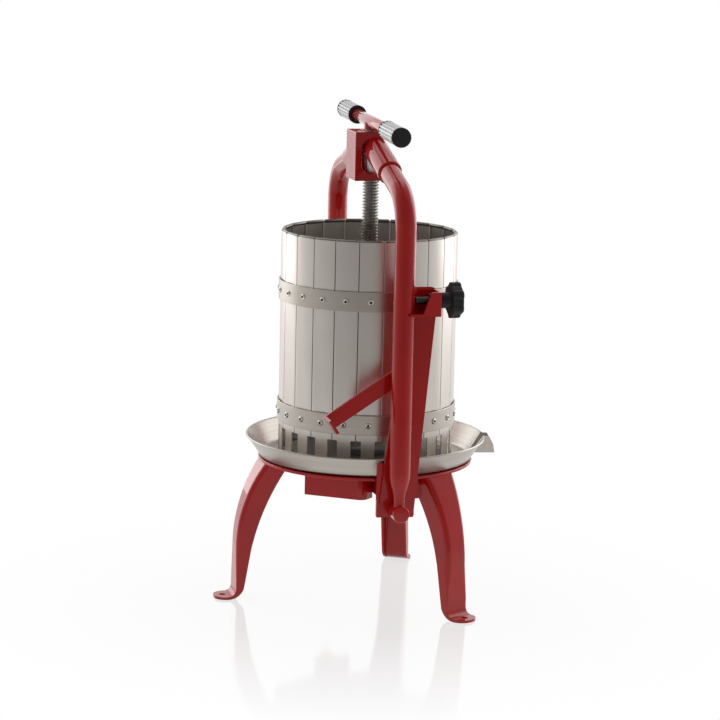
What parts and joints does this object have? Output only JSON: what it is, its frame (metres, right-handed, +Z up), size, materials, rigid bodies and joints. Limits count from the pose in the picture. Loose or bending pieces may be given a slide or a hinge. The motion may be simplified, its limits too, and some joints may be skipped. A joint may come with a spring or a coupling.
{
  "type": "fruit press",
  "caption": "Tripod basket fruit press with a tilting tube arch, T-handled press screw, riveted stainless slat basket, spouted drip tray and a star-knob clamp.",
  "frame": {"origin": "on the floor under the press screw, at the centre of the circle of foot holes", "axes": "+Z up along the press screw, +X away from the single left leg, Y along the tilt axis with the clamp on the -Y side"},
  "size_m": [0.3775, 0.4244, 0.646],
  "materials": {
    "red_paint": "gloss red powder coat",
    "stainless": "brushed stainless sheet",
    "zinc": "bright zinc plate",
    "screw_steel": "oiled dark steel",
    "grip_alloy": "ribbed satin alloy",
    "black_plastic": "moulded black plastic"
  },
  "bodies": {
    "base": {"base_disc": "red_paint", "leg_screws": "zinc", "leg_nuts": "zinc", "left_leg": "red_paint", "near_leg": "red_paint", "far_leg": "red_paint", "cross_beam": "red_paint", "near_beam_plate": "red_paint", "far_beam_plate": "red_paint", "near_left_apron": "red_paint", "near_right_apron": "red_paint", "far_left_apron": "red_paint", "far_right_apron": "red_paint", "near_upright": "red_paint", "far_upright": "red_paint", "stop_arm": "red_paint", "clamp_bracket": "red_paint", "clamp_nut": "zinc"},
    "tray": {"drip_tray": "stainless"},
    "basket": {"basket_slats": "stainless", "upper_band": "stainless", "lower_band": "stainless", "upper_rivets": "stainless", "lower_rivets": "stainless"},
    "press_plate": {"pressing_plate": "stainless", "plate_seat": "stainless"},
    "arch": {"near_arch_tube": "red_paint", "far_arch_tube": "red_paint", "near_sleeve": "red_paint", "far_sleeve": "red_paint", "near_arch_eye": "red_paint", "far_arch_eye": "red_paint", "near_pivot_pin": "zinc", "far_pivot_pin": "zinc", "near_pivot_spacer": "zinc", "far_pivot_spacer": "zinc", "near_pivot_washer": "zinc", "far_pivot_washer": "zinc", "near_pivot_nut": "zinc", "far_pivot_nut": "zinc", "nut_carrier": "red_paint", "press_nut": "zinc"},
    "foot": {"screw_foot": "screw_steel"},
    "screw": {"press_screw": "screw_steel", "screw_head": "red_paint", "t_bar": "red_paint", "near_grip": "grip_alloy", "far_grip": "grip_alloy", "near_grip_ring": "black_plastic", "far_grip_ring": "black_plastic", "near_grip_cap": "black_plastic", "far_grip_cap": "black_plastic"},
    "washer": {"clamp_washer": "zinc"},
    "knob": {"clamp_knob": "black_plastic", "clamp_stud": "zinc"}
  },
  "joints": [
    {"name": "arch_tilt", "type": "hinge", "parent": "base", "child": "arch", "pos_m": [0, 0, 0.151], "axis": [0, -1, 0], "range_deg": [0, 12]},
    {"name": "screw_rise", "type": "slide", "parent": "arch", "child": "foot", "axis": [0, 0, 1], "range_m": [0, 0.28]},
    {"name": "screw_turn", "type": "hinge", "parent": "foot", "child": "screw", "pos_m": [0, 0, 0.3], "axis": [0, 0, 1], "range_deg": [0, 25200]},
    {"name": "tray_lift", "type": "slide", "parent": "base", "child": "tray", "axis": [0, 0, 1], "range_m": [0, 0.015]},
    {"name": "basket_lift", "type": "slide", "parent": "tray", "child": "basket", "axis": [0, 0, 1], "range_m": [0, 0.02]},
    {"name": "plate_lift", "type": "slide", "parent": "tray", "child": "press_plate", "axis": [0, 0, 1], "range_m": [0, 0.015]},
    {"name": "knob_travel", "type": "slide", "parent": "base", "child": "washer", "axis": [1, 0, 0], "range_m": [0, 0.012]},
    {"name": "knob_turn", "type": "hinge", "parent": "washer", "child": "knob", "pos_m": [0.05, -0.181, 0.425], "axis": [1, 0, 0], "range_deg": [0, 2880]}
  ],
  "couplings": [
    {"joint": "screw_rise", "follows": "screw_turn", "m_per_rad": 0.00063662},
    {"joint": "knob_travel", "follows": "knob_turn", "m_per_rad": 0.0002387}
  ]
}
